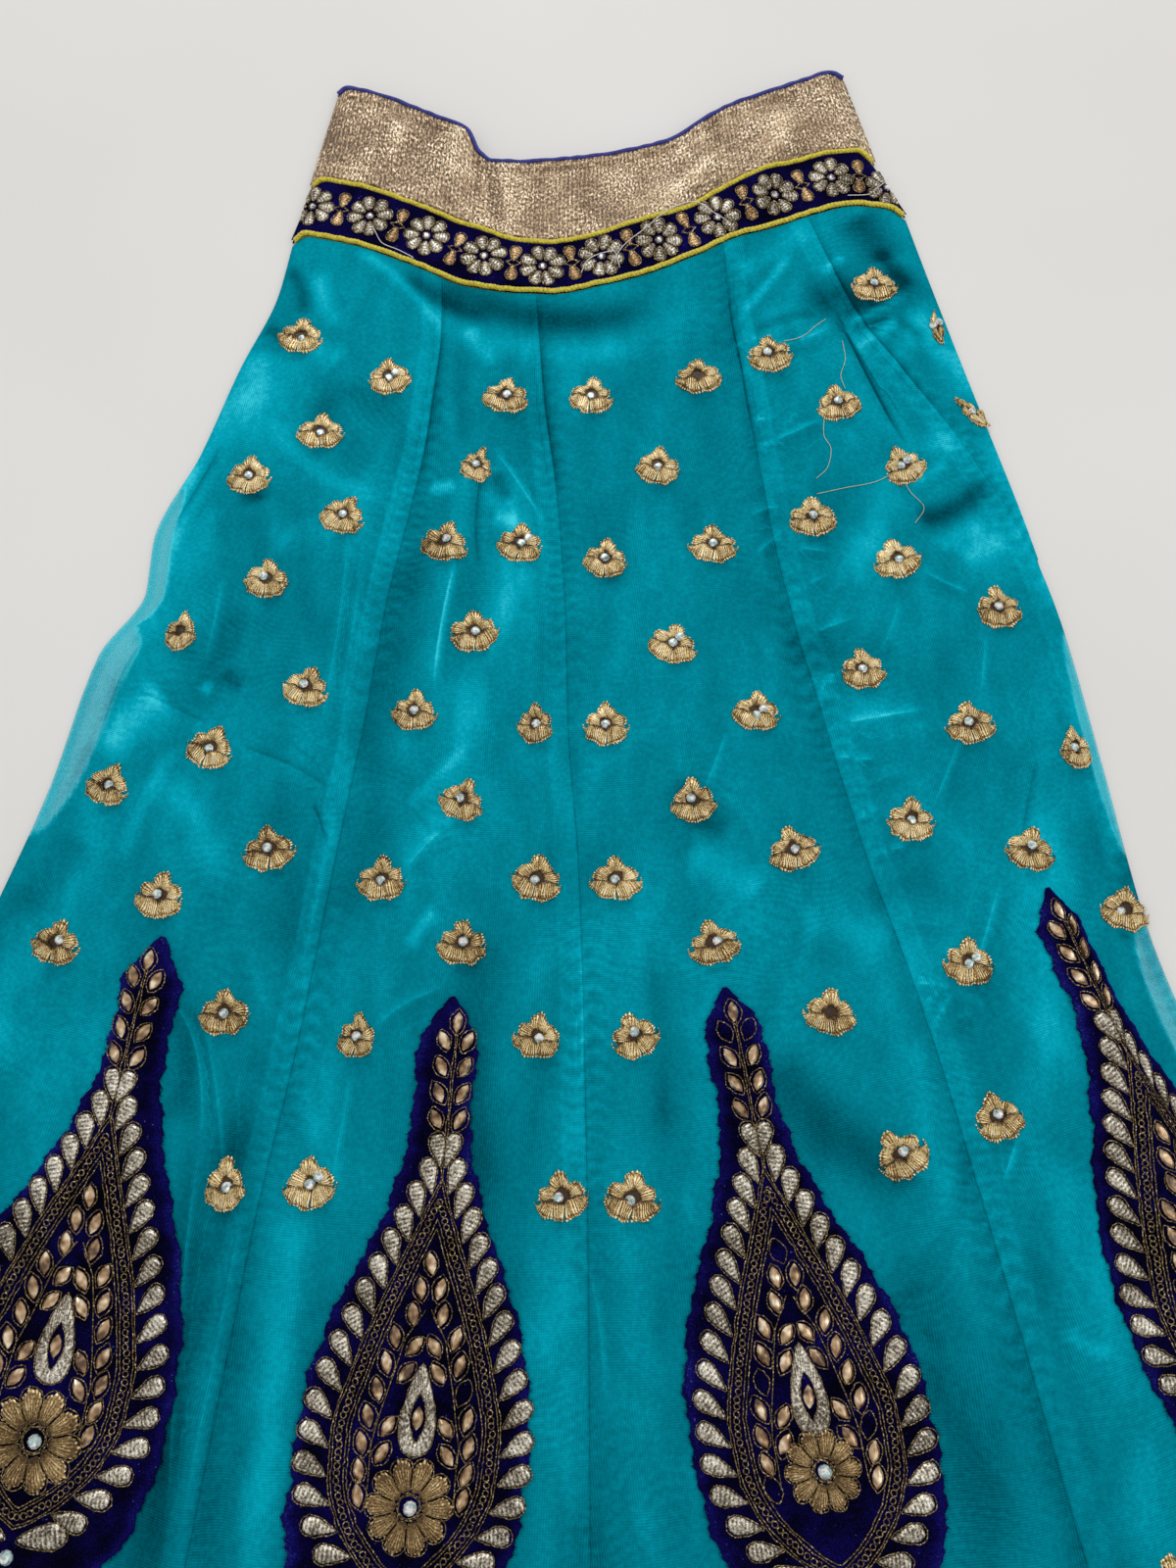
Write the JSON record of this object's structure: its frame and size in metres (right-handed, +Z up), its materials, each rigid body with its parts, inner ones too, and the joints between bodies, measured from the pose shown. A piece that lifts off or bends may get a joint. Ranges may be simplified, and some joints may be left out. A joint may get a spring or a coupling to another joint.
{
  "type": "lehenga skirt",
  "caption": "Long flared skirt lying flat: net gores over a lining, gold tissue waistband, flower trim between piping cords and velvet teardrop appliques.",
  "frame": {"origin": "middle of the skirt's box on the surface that it lies on", "axes": "+Z up out of the front, +Y towards the waist, +X to the right as the front is seen from above"},
  "size_m": [0.91, 1.0723, 0.0169],
  "materials": {
    "turquoise_net": "fine sheer net with a soft sheen",
    "turquoise_lining": "smooth matt lining",
    "gold_tissue": "ribbed metallic tissue, glittering",
    "navy_velvet": "short pile velvet",
    "navy_piping": "matt bias piping",
    "yellow_piping": "twisted silky cord",
    "gold_thread": "metallic embroidery thread with a satin glint",
    "silver_thread": "metallic padded thread, silver",
    "stone": "cut glass stones with foil backs",
    "loose_thread": "fine loose sewing thread"
  },
  "bodies": {
    "root": {"waistband_front": "gold_tissue", "waistband_back": "gold_tissue", "top_piping_front": "navy_piping", "top_piping_back": "navy_piping", "upper_piping_front": "yellow_piping", "upper_piping_back": "yellow_piping", "trim_front": "navy_velvet", "trim_back": "navy_velvet", "lower_piping_front": "yellow_piping", "lower_piping_back": "yellow_piping", "gore_1_front": "turquoise_net", "gore_2_front": "turquoise_net", "gore_3_front": "turquoise_net", "gore_4_front": "turquoise_net", "gore_5_turn": "turquoise_net", "gore_5_back": "turquoise_net", "gore_6_back": "turquoise_net", "gore_7_back": "turquoise_net", "gore_8_back": "turquoise_net", "lining_front": "turquoise_lining", "lining_back": "turquoise_lining", "applique_1": "navy_velvet", "applique_2": "navy_velvet", "applique_3": "navy_velvet", "applique_4": "navy_velvet"}
  },
  "joints": []
}
